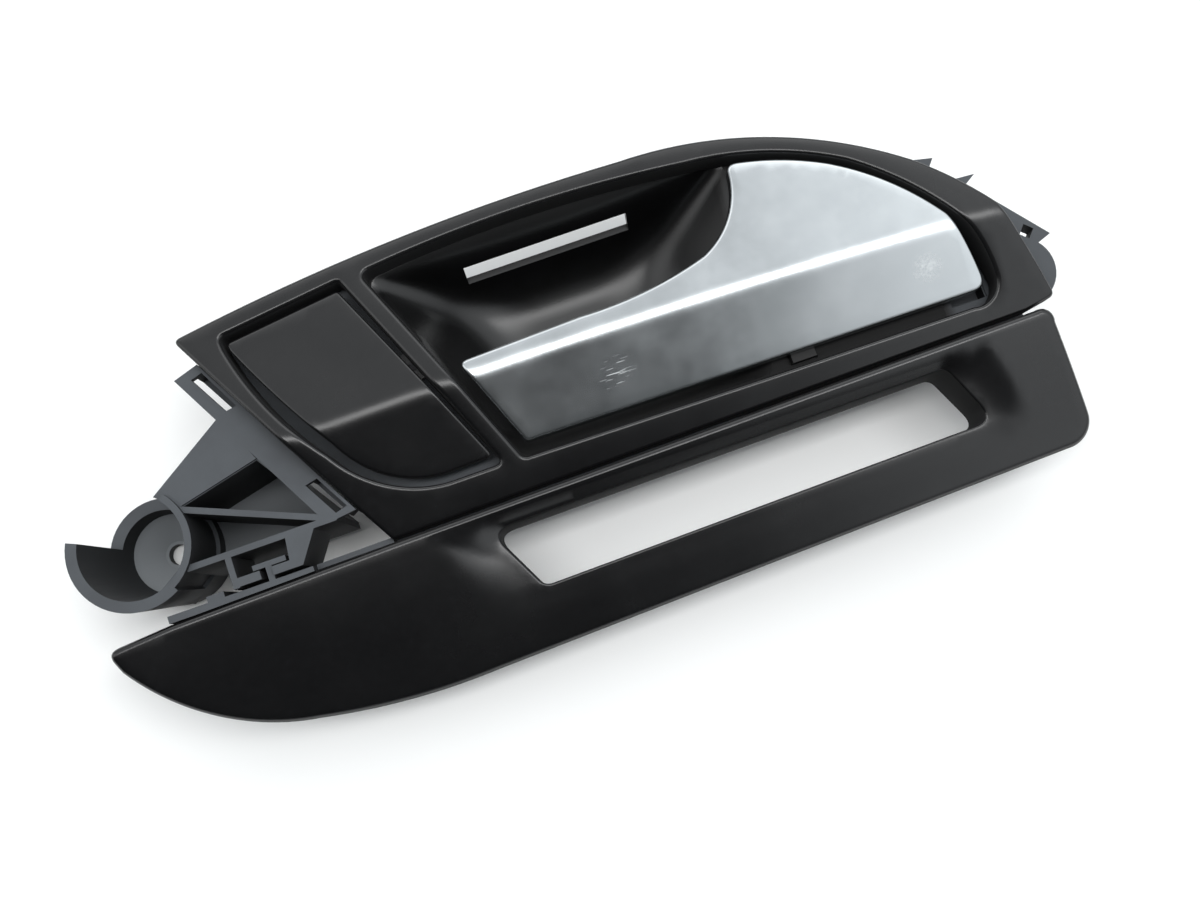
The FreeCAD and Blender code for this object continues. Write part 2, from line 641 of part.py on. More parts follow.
def build():
    return {
        "bezel": bezel(),
        "switch_blank": switch_blank(),
        "blank_clips": blank_clips(),
        "finger_bowl": finger_bowl(),
        "carrier": carrier(),
        "grip_trim": grip_trim(),
        "grip_trim_frame": grip_trim_frame(),
        "lever_cover": lever_cover(),
        "lever_arm": lever_arm(),
        "lever_pin": lever_pin(),
        "pin_clip": pin_clip(),
        "lower_bush": bush(BARREL[0], BARREL[0] + 2.6, BARREL[0] - 0.8, BARREL[0]),
        "upper_bush": bush(BARREL[1] - 2.6, BARREL[1], BARREL[1], BARREL[1] + 0.8),
        "lever_spring": lever_spring(),
        "rest_buffers": rest_buffers(),
        "open_buffer": open_buffer(),
        "bezel_screws": screws(BEZEL_BOSSES, DECK_FOOT - 2, 6.6),
        "bowl_screws": screws(BOWL_BOSSES, 28, 10),
        "trim_screws": screws([(x, 1.2) for x in TRIM_BOSSES], 23.5, 10),
        "lever_cover_screws": cover_screws(),
    }


def main():
    os.makedirs("parts", exist_ok=True)
    for name, shape in build().items():
        shape.translate(ORIGIN_SHIFT)
        shape.exportStep("parts/" + name + ".step")
        extent = shape.BoundBox
        print(name, shape.isValid(), len(shape.Solids), "volume %.0f" % shape.Volume,
              "x %.1f %.1f y %.1f %.1f z %.1f %.1f" % (extent.XMin, extent.XMax, extent.YMin, extent.YMax,
                                                       extent.ZMin, extent.ZMax))


main()
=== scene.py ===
"""Car door handle unit on a pale table: lever, finger bowl, bezel, grip trim and ribbed carrier.

Outlines and heights are in millimetres in the unit's own drawing frame, which to_frame turns into the
CAD's frame in metres.
"""

import math

import bmesh
import bpy
import numpy as np
from mathutils import Matrix, Vector
from mathutils.geometry import delaunay_2d_cdt


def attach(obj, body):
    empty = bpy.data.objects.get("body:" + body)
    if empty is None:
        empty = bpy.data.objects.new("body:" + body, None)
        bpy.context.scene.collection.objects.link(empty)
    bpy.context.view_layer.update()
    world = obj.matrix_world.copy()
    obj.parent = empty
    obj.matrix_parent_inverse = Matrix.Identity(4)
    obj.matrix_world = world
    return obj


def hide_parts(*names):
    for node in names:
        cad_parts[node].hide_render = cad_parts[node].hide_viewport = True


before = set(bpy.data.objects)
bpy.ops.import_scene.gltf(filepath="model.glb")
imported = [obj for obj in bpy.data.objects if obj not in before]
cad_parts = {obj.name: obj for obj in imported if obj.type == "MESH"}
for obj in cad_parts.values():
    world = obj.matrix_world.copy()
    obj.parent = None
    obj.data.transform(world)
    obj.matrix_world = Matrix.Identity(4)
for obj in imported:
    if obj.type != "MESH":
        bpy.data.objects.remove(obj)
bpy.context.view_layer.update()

MM = 0.001
SHIFT_X = 2.25     # from the drawing frame to the CAD's
SHIFT_Y = -16.8
HOUSING = "housing"
LEVER = "lever"

# the front face: two slopes of revolution meeting in a rounded crease
CREASE_X = -20.0
CREASE_Y = -2466.4
CREASE_RADIUS = 2500.0
CREASE_HEIGHT = 52.0
UPPER_SLOPE = 0.123
LOWER_SLOPE = 0.325
CREASE_ROUND = 13.0
SKIRT_FOOT = 38.0
BLANK_FOOT = 42.0
BLANK_SINK = 0.9
LEVER_DEPTH = 4.1
CREASE_BAND = (25, 38)

# the trim's crowned face, and the recess round its window
CROWN_RADIUS = 300.0
CROWN_Y = 55.0
CROWN_TOP = 49.8
TRIM_FOOT = 28.0
WINDOW_FOOT = 20.0
RECESS_DEPTH = 3.8
RECESS_RISE = 3.1
RECESS_TOP = -10.0
RECESS_FALL = 21.0

# mesh density
ARC_STEPS = 24
EDGE_STEPS = 5
DENSE_SHARE = 0.32     # row spacing across the crease, as a share of the grid
CLEAR_SHARE = 0.45     # least gap between a grid place and an edge, as a share of the grid
FLAT_CORNER = math.radians(165)
SAME_PLANE = math.radians(1.0)
BEVEL_FROM = math.radians(30)
MERGE_REACH = 0.005
LEAST_MITRE = 0.6      # caps how far a sharp corner runs out when its outline is moved

# where the finishes, the painted shade and the painted light change, in the drawing frame
WALL_ROUGHNESS = 0.85
APRON_Y = (18.0, 14.0)
GAP_LEFT = (43.0, 47.0)
GAP_RIGHT = (119.0, 116.0)
GAP_Z = (32.0, 33.5)
POT_Z = (14.0, 8.0)
RUB_PLACE = (111.0, 20.0, 48.0)
RUB_REACH = (5.5, 1.0)
SCRATCH_PLACE = (12.5, 20.5, 48.0)
SCRATCH_REACH = (6.5, 2.0)


# ---- shapes on paper ----
def swept(start, middle, end, t):
    """A place on the curve that leaves start towards middle and arrives at end from it."""
    return start * (1 - t) ** 2 + middle * 2 * t * (1 - t) + end * t ** 2


def arc(start, middle, end, steps):
    """Points after start along the circle through three points."""
    ax, ay = start
    bx, by = middle
    cx, cy = end
    d = 2 * (ax * (by - cy) + bx * (cy - ay) + cx * (ay - by))
    a2, b2, c2 = ax * ax + ay * ay, bx * bx + by * by, cx * cx + cy * cy
    ux = (a2 * (by - cy) + b2 * (cy - ay) + c2 * (ay - by)) / d
    uy = (a2 * (cx - bx) + b2 * (ax - cx) + c2 * (bx - ax)) / d
    radius = math.hypot(ax - ux, ay - uy)
    a0 = math.atan2(ay - uy, ax - ux)
    a1 = math.atan2(cy - uy, cx - ux)
    turn = 2 * math.pi
    left = ((bx - ax) * (cy - ay) - (by - ay) * (cx - ax)) > 0
    sweep = (a1 - a0) % turn if left else -((a0 - a1) % turn)
    angles = [a0 + sweep * k / steps for k in range(1, steps + 1)]
    return [(ux + radius * math.cos(angle), uy + radius * math.sin(angle)) for angle in angles]


def outline(start, *steps):
    """Corner list: a point is a straight step, a pair of points an arc through the first to the second."""
    points = [start]
    for step in steps:
        if isinstance(step[0], tuple):
            points += arc(points[-1], step[0], step[1], ARC_STEPS)
        else:
            points.append(step)
    return points


def softened(points, radius, steps=6, special=()):
    """The outline with its sharp corners rounded; special gives (place, radius) pairs for the wider ones."""
    count = len(points)
    corners = [Vector(point) for point in points]
    lengths = [(corners[(k + 1) % count] - corners[k]).length for k in range(count)]

    def walked(index, distance):
        """The place at a distance along the outline from a corner, backwards if negative."""
        way = 1 if distance > 0 else -1
        left = abs(distance)
        while True:
            side = index if way > 0 else index - 1
            if left < lengths[side]:
                return corners[index].lerp(corners[(index + way) % count], left / lengths[side])
            left -= lengths[side]
            index = (index + way) % count

    at = [sum(lengths[:k]) for k in range(count)]
    total = sum(lengths)
    rounded = {}
    for index in range(count):
        back = corners[index - 1] - corners[index]
        on = corners[(index + 1) % count] - corners[index]
        between = back.angle(on)
        if between < FLAT_CORNER:
            wide = [size for place, size in special if (corners[index] - Vector(place)).length < 0.5]
            rounded[index] = (wide[0] if wide else radius) / math.tan(between / 2)
    soft = []
    for index in range(count):
        if index in rounded:
            start, end = walked(index, -rounded[index]), walked(index, rounded[index])
            for k in range(steps + 1):
                soft.append(tuple(swept(start, corners[index], end, k / steps)))
        elif all(min((at[index] - at[c]) % total, (at[c] - at[index]) % total) > reach + 0.05
                 for c, reach in rounded.items()):
            soft.append(tuple(corners[index]))
    return soft


def stepped(points, spacing):
    """The outline walked at an even spacing, corners kept."""
    walked = []
    for index in range(len(points)):
        here, there = Vector(points[index]), Vector(points[(index + 1) % len(points)])
        parts = max(1, round((there - here).length / spacing))
        walked += [tuple(here.lerp(there, k / parts)) for k in range(parts)]
    return walked


def signed_area(points):
    """Positive when the outline runs anticlockwise."""
    return sum(a[0] * b[1] - b[0] * a[1] for a, b in zip(points, points[1:] + points[:1])) / 2


def inset(points, distance):
    """The outline moved in towards its own left side (the inside when it runs anticlockwise)."""
    moved = []
    count = len(points)
    for index in range(count):
        here = Vector(points[index])
        first = (here - Vector(points[index - 1])).normalized()
        second = (Vector(points[(index + 1) % count]) - here).normalized()
        normal = Vector((-first.y - second.y, first.x + second.x))
        moved.append(tuple(here + normal * (2 * distance / max(normal.length_squared, LEAST_MITRE))))
    return moved


def reaches(points, x, y):
    """Distance from a place to an outline."""
    start = np.array(points)
    step = np.roll(start, -1, 0) - start
    gap = np.array((x, y)) - start
    along = np.clip((gap * step).sum(1) / ((step * step).sum(1) + 1e-12), 0, 1)
    away = gap - along[:, None] * step
    return math.sqrt((away * away).sum(1).min())


def inside(points, x, y):
    """Whether a place lies within an outline."""
    hit = False
    for (ax, ay), (bx, by) in zip(points, points[1:] + points[:1]):
        if (ay > y) != (by > y) and x < (bx - ax) * (y - ay) / (by - ay) + ax:
            hit = not hit
    return hit


# ---- heights ----
def face_height(x, y):
    """Height of the two-slope front at a place, its crease rounded."""
    beyond = math.hypot(x - CREASE_X, y - CREASE_Y) - CREASE_RADIUS
    half_turn = (math.atan(UPPER_SLOPE) + math.atan(LOWER_SLOPE)) / 2
    reach = CREASE_ROUND * math.tan(half_turn)
    if beyond > reach:
        return CREASE_HEIGHT - UPPER_SLOPE * beyond
    if beyond < -reach:
        return CREASE_HEIGHT + LOWER_SLOPE * beyond
    t = (beyond + reach) / (2 * reach)
    low = CREASE_HEIGHT - LOWER_SLOPE * reach
    high = CREASE_HEIGHT - UPPER_SLOPE * reach
    return swept(low, CREASE_HEIGHT, high, t)


def crown_height(y):
    """Height of the trim's crowned face."""
    return CROWN_TOP - CROWN_RADIUS + math.sqrt(CROWN_RADIUS ** 2 - (y - CROWN_Y) ** 2)


# ---- mesh helpers ----
def deselect():
    """Leaves edit mode, with nothing selected."""
    if bpy.context.object and bpy.context.object.mode != "OBJECT":
        bpy.ops.object.mode_set(mode="OBJECT")
    bpy.ops.object.select_all(action="DESELECT")


def activate(piece):
    """Makes the piece the only one selected, and the active one."""
    deselect()
    piece.select_set(True)
    bpy.context.view_layer.objects.active = piece


def to_frame(x, y, z):
    """A place in the drawing frame, in millimetres, as a place in the CAD's frame, in metres."""
    return Vector(((x + SHIFT_X) * MM, (y + SHIFT_Y) * MM, z * MM))


def add_mesh(name, bm):
    """Turns a finished bmesh into a piece."""
    mesh = bpy.data.meshes.new(name)
    bm.to_mesh(mesh)
    bm.free()
    piece = bpy.data.objects.new(name, mesh)
    bpy.context.scene.collection.objects.link(piece)
    return piece


def apply_modifier(piece, kind, **settings):
    """Adds one modifier to the piece and applies it."""
    activate(piece)
    modifier = piece.modifiers.new(kind.title(), kind)
    for key, value in settings.items():
        setattr(modifier, key, value)
    bpy.ops.object.modifier_apply(modifier=modifier.name)


def smooth(piece, degrees):
    """Smooth shading, except across edges sharper than the angle."""
    activate(piece)
    bpy.ops.object.shade_smooth_by_angle(angle=math.radians(degrees))


def rounded_edges(loops):
    """Rings that carry each loop's edge round, as places, drops below the face, and edges between places."""
    places, drops, edges = [], [], []
    for loop, radius in loops:
        for k in range(EDGE_STEPS + 1):
            angle = math.pi / 2 * k / EDGE_STEPS
            ring = inset(loop, radius * (1 - math.cos(angle)))
            edges += closed_edges(len(places), len(ring))
            places += ring
            drops += [radius * (1 - math.sin(angle))] * len(ring)
    return places, drops, edges


def closed_edges(start, count):
    """The edges of a closed ring of places numbered from start."""
    return [(start + k, start + (k + 1) % count) for k in range(count)]


def face_grid(outer, boundaries, folds, grid, dense_band):
    """Places on the flat of a face, in rows that are closer together in the dense band."""
    low_x, high_x = min(p[0] for p in outer), max(p[0] for p in outer)
    y, high_y = min(p[1] for p in outer), max(p[1] for p in outer)
    places = []
    while y < high_y:
        x = low_x
        while x < high_x:
            within = inside(boundaries[0], x, y) and not any(inside(hole, x, y) for hole in boundaries[1:])
            if within and min(reaches(edge, x, y) for edge in boundaries + folds) > grid * CLEAR_SHARE:
                places.append((x, y))
            x += grid
        dense = dense_band and dense_band[0] < y < dense_band[1]
        y += grid * (DENSE_SHARE if dense else 1)
    return places


def face_mesh(loops, places, drops, edges, height):
    """The face through all the places at their heights, its openings left out."""
    verts, _, faces, origins = delaunay_2d_cdt([Vector(place) for place in places], edges, [], 0, 1e-5)[:4]
    bm = bmesh.new()
    made = []
    for vert, origin in zip(verts, origins):
        drop = drops[origin[0]] if origin else 0
        made.append(bm.verts.new(to_frame(vert.x, vert.y, height(vert.x, vert.y) - drop)))
    outer, *holes = loops
    for corners in faces:
        x = sum(verts[k].x for k in corners) / len(corners)
        y = sum(verts[k].y for k in corners) / len(corners)
        if inside(outer, x, y) and not any(inside(hole, x, y) for hole in holes):
            bm.faces.new([made[k] for k in corners])
    bmesh.ops.delete(bm, geom=[vert for vert in bm.verts if not vert.link_faces], context="VERTS")
    face_upwards(bm)
    return bm


def face_upwards(bm):
    """Gives an open shell's faces one side, the upper one."""
    bmesh.ops.recalc_face_normals(bm, faces=bm.faces)
    if sum(face.normal.z * face.calc_area() for face in bm.faces) < 0:
        bmesh.ops.reverse_faces(bm, faces=bm.faces)


def drop_skirts(piece, foot):
    """Extrudes every open edge straight down to its foot."""
    activate(piece)
    bpy.ops.object.mode_set(mode="EDIT")
    bpy.ops.mesh.select_mode(type="EDGE")
    bpy.ops.mesh.select_all(action="DESELECT")
    bpy.ops.mesh.select_non_manifold()
    bpy.ops.mesh.extrude_edges_move()
    bpy.ops.object.mode_set(mode="OBJECT")
    for vert in piece.data.vertices:
        if vert.select:
            vert.co.z = foot(vert.co.x / MM - SHIFT_X, vert.co.y / MM - SHIFT_Y) * MM


def sheet(name, outer, openings, height, foot, thickness, edge_round, opening_round, spacing, grid,
          dense_band=None, folds=()):
    """Moulded shell: a shaped face between outlines, rounded edges, skirts down to a foot, then its wall."""
    loops = []
    for points, radius in [(outer, edge_round)] + [(hole, opening_round) for hole in openings]:
        loop = stepped(points, spacing)
        if (signed_area(loop) > 0) != (points is outer):
            loop.reverse()
        loops.append((loop, radius))
    places, drops, edges = rounded_edges(loops)
    for fold in folds:
        loop = stepped(fold, spacing)
        edges += closed_edges(len(places), len(loop))
        places += loop
        drops += [0] * len(loop)
    flat = face_grid(outer, [inset(loop, radius) for loop, radius in loops], list(folds), grid, dense_band)
    places += flat
    drops += [0] * len(flat)
    piece = add_mesh(name, face_mesh([loop for loop, radius in loops], places, drops, edges, height))
    drop_skirts(piece, foot)
    apply_modifier(piece, "SOLIDIFY", thickness=thickness * MM, offset=-1, use_even_offset=True,
                   use_quality_normals=True)
    smooth(piece, 35)
    return piece


# ---- materials ----
def linear(code):
    """sRGB hex colour as the shader wants it."""
    parts = [int(code[i:i + 2], 16) / 255 for i in (1, 3, 5)]
    return tuple(c / 12.92 if c <= 0.04045 else ((c + 0.055) / 1.055) ** 2.4 for c in parts) + (1.0,)


def repeats(size):
    """The scale that gives a pattern features of a size in millimetres."""
    return 1 / (size * MM)


def node(tree, kind, settings=None, links=None):
    """Adds a node, sets its values and links its inputs to other nodes' outputs."""
    made = tree.nodes.new(kind)
    for key, value in (settings or {}).items():
        if isinstance(key, str) and hasattr(made, key):
            setattr(made, key, value)
        else:
            made.inputs[key].default_value = value
    for key, source in (links or {}).items():
        tree.links.new(source, made.inputs[key])
    return made


def ramp(made, stops):
    """Sets a colour ramp's stops from (place, hex) pairs."""
    elements = made.color_ramp.elements
    while len(elements) < len(stops):
        elements.new(0.5)
    for element, (spot, code) in zip(elements, stops):
        element.position = spot
        element.color = linear(code)
    return made.outputs["Color"]


def new_material(name):
    """An empty material, with its node tree and its place on the piece, in metres."""
    material = bpy.data.materials.new(name)
    material.use_nodes = True
    tree = material.node_tree
    tree.nodes.clear()
    return material, tree, tree.nodes.new("ShaderNodeTexCoord").outputs["Object"]


def wall_share(tree):
    """0 where a face looks up, 1 where it stands upright."""
    normal = tree.nodes.new("ShaderNodeNewGeometry").outputs["Normal"]
    facing = node(tree, "ShaderNodeSeparateXYZ", None, {0: normal})
    share = node(tree, "ShaderNodeMapRange", {"From Min": 0.6, "From Max": 0.25},
                 {"Value": facing.outputs["Z"]})
    return share.outputs["Result"]


def satin_black_plastic():
    """Moulded ABS with a spark-eroded grain: near black, a broad soft sheen, matt upright walls."""
    material, tree, place = new_material("satin_black_abs")
    grain = node(tree, "ShaderNodeTexNoise", {"Scale": repeats(0.455), "Detail": 3.0}, {"Vector": place})
    handling = node(tree, "ShaderNodeTexNoise", {"Scale": repeats(29.4), "Detail": 5.0}, {"Vector": place})
    dust = node(tree, "ShaderNodeTexNoise", {"Scale": repeats(2.38), "Detail": 6.0, "Roughness": 0.7},
                {"Vector": place})
    colour = ramp(node(tree, "ShaderNodeValToRGB", None, {"Fac": dust.outputs["Fac"]}),
                  [(0.35, "#0b0b0c"), (0.62, "#0e0e0f"), (0.8, "#17171a")])
    gloss = node(tree, "ShaderNodeMapRange",
                 {"From Min": 0.3, "From Max": 0.7, "To Min": 0.22, "To Max": 0.29},
                 {"Value": handling.outputs["Fac"]})
    rough = node(tree, "ShaderNodeMapRange", {"To Max": WALL_ROUGHNESS},
                 {"Value": wall_share(tree), "To Min": gloss.outputs["Result"]})
    bump = node(tree, "ShaderNodeBump", {"Strength": 0.12, "Distance": 0.04 * MM},
                {"Height": grain.outputs["Fac"]})
    shader = node(tree, "ShaderNodeBsdfPrincipled", {"IOR": 1.5},
                  {"Base Color": colour, "Roughness": rough.outputs["Result"],
                   "Normal": bump.outputs["Normal"]})
    node(tree, "ShaderNodeOutputMaterial", None, {"Surface": shader.outputs["BSDF"]})
    return material


def bowl_plastic():
    """Moulded ABS of the bowl: coarser grain and duller than the bezel, matt on the apron below it."""
    material, tree, place = new_material("grained_black_abs")
    grain = node(tree, "ShaderNodeTexVoronoi", {"Scale": repeats(0.714)}, {"Vector": place})
    dust = node(tree, "ShaderNodeTexNoise", {"Scale": repeats(16.7), "Detail": 6.0, "Roughness": 0.65},
                {"Vector": place})
    colour = ramp(node(tree, "ShaderNodeValToRGB", None, {"Fac": dust.outputs["Fac"]}),
                  [(0.35, "#090909"), (0.7, "#0e0e0f")])
    where = node(tree, "ShaderNodeSeparateXYZ", None, {0: place})
    start, end = (to_frame(0, y, 0).y for y in APRON_Y)
    rough = node(tree, "ShaderNodeMapRange",
                 {"From Min": start, "From Max": end, "To Min": 0.29, "To Max": WALL_ROUGHNESS},
                 {"Value": where.outputs["Y"]})
    bump = node(tree, "ShaderNodeBump", {"Strength": 0.2, "Distance": 0.04 * MM},
                {"Height": grain.outputs["Distance"]})
    shader = node(tree, "ShaderNodeBsdfPrincipled", {"IOR": 1.5},
                  {"Base Color": colour, "Roughness": rough.outputs["Result"],
                   "Normal": bump.outputs["Normal"]})
    node(tree, "ShaderNodeOutputMaterial", None, {"Surface": shader.outputs["BSDF"]})
    return material


def carrier_plastic():
    """Talc-filled polypropylene: dull dark grey with faint flow clouds, no sheen.

    Painted shade darkens the upright walls and the top edges in the gap below the lever, and a painted pool
    of light pales the screw pot's floor; none of these is a finish of the part. The darker walls and gap
    and the paler pot floor are matched tones, not a known finish.
    """
    material, tree, place = new_material("filled_polypropylene")
    clouds = node(tree, "ShaderNodeTexNoise", {"Scale": repeats(22.2), "Detail": 6.0, "Roughness": 0.6},
                  {"Vector": place})
    specks = node(tree, "ShaderNodeTexNoise", {"Scale": repeats(1.11), "Detail": 3.0}, {"Vector": place})
    tone = ramp(node(tree, "ShaderNodeValToRGB", None, {"Fac": clouds.outputs["Fac"]}),
                [(0.3, "#393c40"), (0.7, "#44484c")])
    bump = node(tree, "ShaderNodeBump", {"Strength": 0.1, "Distance": 0.05 * MM},
                {"Height": specks.outputs["Fac"]})
    # upright faces: darkened with painted shade below, and kept out of the pot floor's painted light
    wall = wall_share(tree)
    where = node(tree, "ShaderNodeSeparateXYZ", None, {0: place})

    # top edges in the gap below the lever, from its bowl end to its pivot, darkened with painted shade
    start, end = (to_frame(x, 0, 0).x for x in GAP_LEFT)
    gap = node(tree, "ShaderNodeMapRange", {"From Min": start, "From Max": end},
               {"Value": where.outputs["X"]})
    start, end = (to_frame(x, 0, 0).x for x in GAP_RIGHT)
    gap = node(tree, "ShaderNodeMapRange", {"From Min": start, "From Max": end},
               {"Value": where.outputs["X"], "To Max": gap.outputs["Result"]})
    gap = node(tree, "ShaderNodeMapRange", {"From Min": GAP_Z[0] * MM, "From Max": GAP_Z[1] * MM},
               {"Value": where.outputs["Z"], "To Max": gap.outputs["Result"]})

    # floor of the screw pot, its upright walls left out, lightened with a painted pool of light
    pot = node(tree, "ShaderNodeMapRange", {"From Min": POT_Z[0] * MM, "From Max": POT_Z[1] * MM},
               {"Value": where.outputs["Z"]})
    pot = node(tree, "ShaderNodeMapRange", {"From Min": 1.0, "From Max": 0.0},
               {"Value": wall, "To Max": pot.outputs["Result"]})

    # painted light and shade over the grey: a pale pot floor, dark upright walls and dark top edges in the
    # gap
    painted_light_and_shade = [(pot.outputs["Result"], "#74787b"), (wall, "#1a1b1d"), (gap.outputs["Result"], "#0b0b0c")]
    for amount, code in painted_light_and_shade:
        mixed = node(tree, "ShaderNodeMix", {"data_type": "RGBA", 7: linear(code)}, {0: amount, 6: tone})
        tone = mixed.outputs[2]
    shader = node(tree, "ShaderNodeBsdfPrincipled", {"IOR": 1.49, "Roughness": 0.68},
                  {"Base Color": tone, "Normal": bump.outputs["Normal"]})
    node(tree, "ShaderNodeOutputMaterial", None, {"Surface": shader.outputs["BSDF"]})
    return material


def satin_plated_metal():
    """Satin nickel plating: bright grey, softly blurred reflections, a rub mark and a few scratches."""
    material, tree, place = new_material("satin_nickel_plate")
    satin = node(tree, "ShaderNodeTexNoise", {"Scale": repeats(0.556), "Detail": 4.0}, {"Vector": place})
    wear = node(tree, "ShaderNodeTexNoise", {"Scale": repeats(26.3), "Detail": 7.0, "Roughness": 0.62},
                {"Vector": place})
    colour = ramp(node(tree, "ShaderNodeValToRGB", None, {"Fac": wear.outputs["Fac"]}),
                  [(0.3, "#afb3b5"), (0.7, "#bbbfc1")])
    gloss = node(tree, "ShaderNodeMapRange",
                 {"From Min": 0.3, "From Max": 0.7, "To Min": 0.2, "To Max": 0.27},
                 {"Value": wear.outputs["Fac"]})

    # a pale rub mark near the right end, about 7 mm across, broken up at 1 mm
    reach = node(tree, "ShaderNodeVectorMath", {"operation": "DISTANCE", 1: to_frame(*RUB_PLACE)}, {0: place})
    spot = node(tree, "ShaderNodeMapRange", {"From Min": RUB_REACH[0] * MM, "From Max": RUB_REACH[1] * MM},
                {"Value": reach.outputs["Value"]})
    crumbs = node(tree, "ShaderNodeTexNoise", {"Scale": repeats(1.11), "Detail": 4.0, "Roughness": 0.7},
                  {"Vector": place})
    rub = node(tree, "ShaderNodeMapRange", {"From Min": 0.38, "From Max": 0.75},
               {"Value": crumbs.outputs["Fac"], "To Max": spot.outputs["Result"]})

    # hairline scratches near the left end, about 0.2 mm wide and a few millimetres long
    reach = node(tree, "ShaderNodeVectorMath", {"operation": "DISTANCE", 1: to_frame(*SCRATCH_PLACE)},
                 {0: place})
    spot = node(tree, "ShaderNodeMapRange",
                {"From Min": SCRATCH_REACH[0] * MM, "From Max": SCRATCH_REACH[1] * MM},
                {"Value": reach.outputs["Value"]})
    turned = node(tree, "ShaderNodeMapping",
                  {"Rotation": (0, 0, math.radians(38)),
                   "Scale": (repeats(6.25), repeats(0.455), repeats(6.25))},
                  {"Vector": place})
    lines = node(tree, "ShaderNodeTexNoise", {"Scale": 1.0, "Detail": 1.0},
                 {"Vector": turned.outputs["Vector"]})
    nick = node(tree, "ShaderNodeMapRange", {"From Min": 0.62, "From Max": 0.7},
                {"Value": lines.outputs["Fac"], "To Max": spot.outputs["Result"]})
    marks = node(tree, "ShaderNodeMath", {"operation": "MAXIMUM"},
                 {0: rub.outputs["Result"], 1: nick.outputs["Result"]})

    worn = node(tree, "ShaderNodeMix", {"data_type": "RGBA", 7: linear("#d4d7d8")},
                {0: marks.outputs["Value"], 6: colour})
    rough = node(tree, "ShaderNodeMapRange", {"To Max": 0.5},
                 {"Value": marks.outputs["Value"], "To Min": gloss.outputs["Result"]})
    bump = node(tree, "ShaderNodeBump", {"Strength": 0.06, "Distance": 0.03 * MM},
                {"Height": satin.outputs["Fac"]})
    shader = node(tree, "ShaderNodeBsdfPrincipled", {"Metallic": 1.0},
                  {"Base Color": worn.outputs[2], "Roughness": rough.outputs["Result"],
                   "Normal": bump.outputs["Normal"]})
    node(tree, "ShaderNodeOutputMaterial", None, {"Surface": shader.outputs["BSDF"]})
    return material


def plain_metal(name, code, roughness):
    """Drawn or plated small steel part: one tone, slightly streaked in its gloss."""
    material, tree, place = new_material(name)
    streak = node(tree, "ShaderNodeTexNoise", {"Scale": repeats(1.43), "Detail": 3.0}, {"Vector": place})
    gloss = node(tree, "ShaderNodeMapRange", {"To Min": roughness - 0.08, "To Max": roughness + 0.08},
                 {"Value": streak.outputs["Fac"]})
    shader = node(tree, "ShaderNodeBsdfPrincipled", {"Base Color": linear(code), "Metallic": 1.0},
                  {"Roughness": gloss.outputs["Result"]})
    node(tree, "ShaderNodeOutputMaterial", None, {"Surface": shader.outputs["BSDF"]})
    return material


def plain_moulding(name, code, roughness):
    """Small moulded rubber or acetal part: one tone, with a faint surface texture."""
    material, tree, place = new_material(name)
    skin = node(tree, "ShaderNodeTexNoise", {"Scale": repeats(0.769), "Detail": 2.0}, {"Vector": place})
    bump = node(tree, "ShaderNodeBump", {"Strength": 0.15, "Distance": 0.04 * MM},
                {"Height": skin.outputs["Fac"]})
    shader = node(tree, "ShaderNodeBsdfPrincipled", {"Base Color": linear(code), "Roughness": roughness},
                  {"Normal": bump.outputs["Normal"]})
    node(tree, "ShaderNodeOutputMaterial", None, {"Surface": shader.outputs["BSDF"]})
    return material


def white_laminate():
    """Melamine-faced board: pale, even, hardly any sheen."""
    material, tree, place = new_material("white_laminate")
    cloud = node(tree, "ShaderNodeTexNoise", {"Scale": repeats(333), "Detail": 4.0}, {"Vector": place})
    colour = ramp(node(tree, "ShaderNodeValToRGB", None, {"Fac": cloud.outputs["Fac"]}),
                  [(0.3, "#f1f2f1"), (0.7, "#f6f6f5")])
    shader = node(tree, "ShaderNodeBsdfPrincipled", {"Roughness": 0.6}, {"Base Color": colour})
    node(tree, "ShaderNodeOutputMaterial", None, {"Surface": shader.outputs["BSDF"]})
    return material


satin_black = satin_black_plastic()
grained_black = bowl_plastic()
filled_grey = carrier_plastic()
plated = satin_plated_metal()
zinc_black = plain_metal("black_zinc_steel", "#3a3a3c", 0.45)
bright_steel = plain_metal("bright_steel", "#b9bbbd", 0.3)
spring_steel = plain_metal("spring_steel", "#8b8d90", 0.35)
rubber = plain_moulding("black_rubber", "#1c1c1c", 0.75)
acetal = plain_moulding("natural_acetal", "#e4e3dc", 0.35)


# ---- front pieces ----
def bezel_outline():
    return softened(outline(
        (-110.0, 73.9),
        ((-36.0, 82.5), (35.0, 83.2)),
        ((80.0, 75.6), (118.9, 53.3)),
        ((128.7, 43.2), (137.4, 31.6)),
        ((142.2, 17.0), (146.9, 0.3)),
        (137.0, -1.5),
        (-66.6, -4.1),
    ), 1.8)


def blank_opening():
    return softened(outline(
        (-96.4, 69.9),
        (-57.4, 75.0),
        (-28.2, 7.0),
        (-44.0, 6.9),
        ((-61.1, 11.2), (-75.8, 25.1)),
        ((-87.2, 42.5), (-95.9, 66.0)),
    ), 1.8)


def blank_outline():
    return softened(outline(
        (-94.9, 67.7),
        (-58.6, 72.4),
        (-30.2, 9.8),
        (-46.0, 9.4),
        ((-60.5, 13.7), (-73.5, 27.5)),
        ((-85.5, 47.5), (-94.4, 65.0)),
    ), 1.4)


def lever_opening():
    return softened(outline(
        (-50.6, 75.0),
        ((4.0, 78.2), (53.4, 75.0)),
        ((79.5, 69.6), (100.1, 59.5)),
        ((112.6, 48.0), (124.0, 32.9)),
        ((129.2, 20.5), (130.6, 11.0)),
        ((128.6, 6.4), (122.0, 4.7)),
        (60.0, 5.3),
        (-21.9, 6.5),
    ), 2.2)


